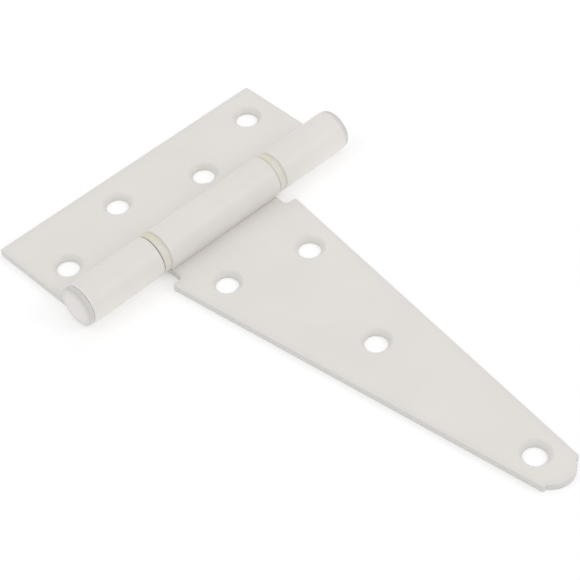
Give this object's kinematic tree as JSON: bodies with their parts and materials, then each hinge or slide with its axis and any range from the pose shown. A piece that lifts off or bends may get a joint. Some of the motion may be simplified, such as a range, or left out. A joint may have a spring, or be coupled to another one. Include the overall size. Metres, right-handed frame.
{
  "type": "tee hinge",
  "caption": "Flat tee hinge: an upright rectangular butt leaf and a tapered strap leaf with rolled knuckles round a shared pin, and countersunk screw holes.",
  "frame": {"origin": "on the mounting plane, straight below the pin's axis, at the middle of the butt leaf's height; both leaves' undersides lie in this plane", "axes": "+X from the pin towards the strap's tip; +Y along the pin; +Z away from the mounting surface, towards the barrel"},
  "size_m": [0.1916, 0.1148, 0.0143],
  "materials": {
    "white_coat": "satin white powder coat on steel sheet",
    "cap_coat": "satin white paint on turned steel",
    "cream_nylon": "semi-matt cream nylon",
    "pin_steel": "bright drawn bar, lightly greased"
  },
  "bodies": {
    "butt": {"butt_leaf": "white_coat", "hinge_pin": "pin_steel", "pin_cap_left": "cap_coat", "pin_cap_right": "cap_coat"},
    "strap": {"strap_leaf": "white_coat"},
    "washer_left": {"thrust_washer_left": "cream_nylon"},
    "washer_right": {"thrust_washer_right": "cream_nylon"}
  },
  "joints": [
    {"name": "leaf_hinge", "type": "hinge", "parent": "butt", "child": "strap", "pos_m": [0, 0, 0.00715], "axis": [0, -1, 0], "range_deg": [-90, 190]},
    {"name": "washer_left_spin", "type": "hinge", "parent": "butt", "child": "washer_left", "pos_m": [0, -0.02442, 0.00715], "axis": [0, -1, 0], "continuous": true},
    {"name": "washer_right_spin", "type": "hinge", "parent": "butt", "child": "washer_right", "pos_m": [0, 0.02615, 0.00715], "axis": [0, -1, 0], "continuous": true}
  ]
}
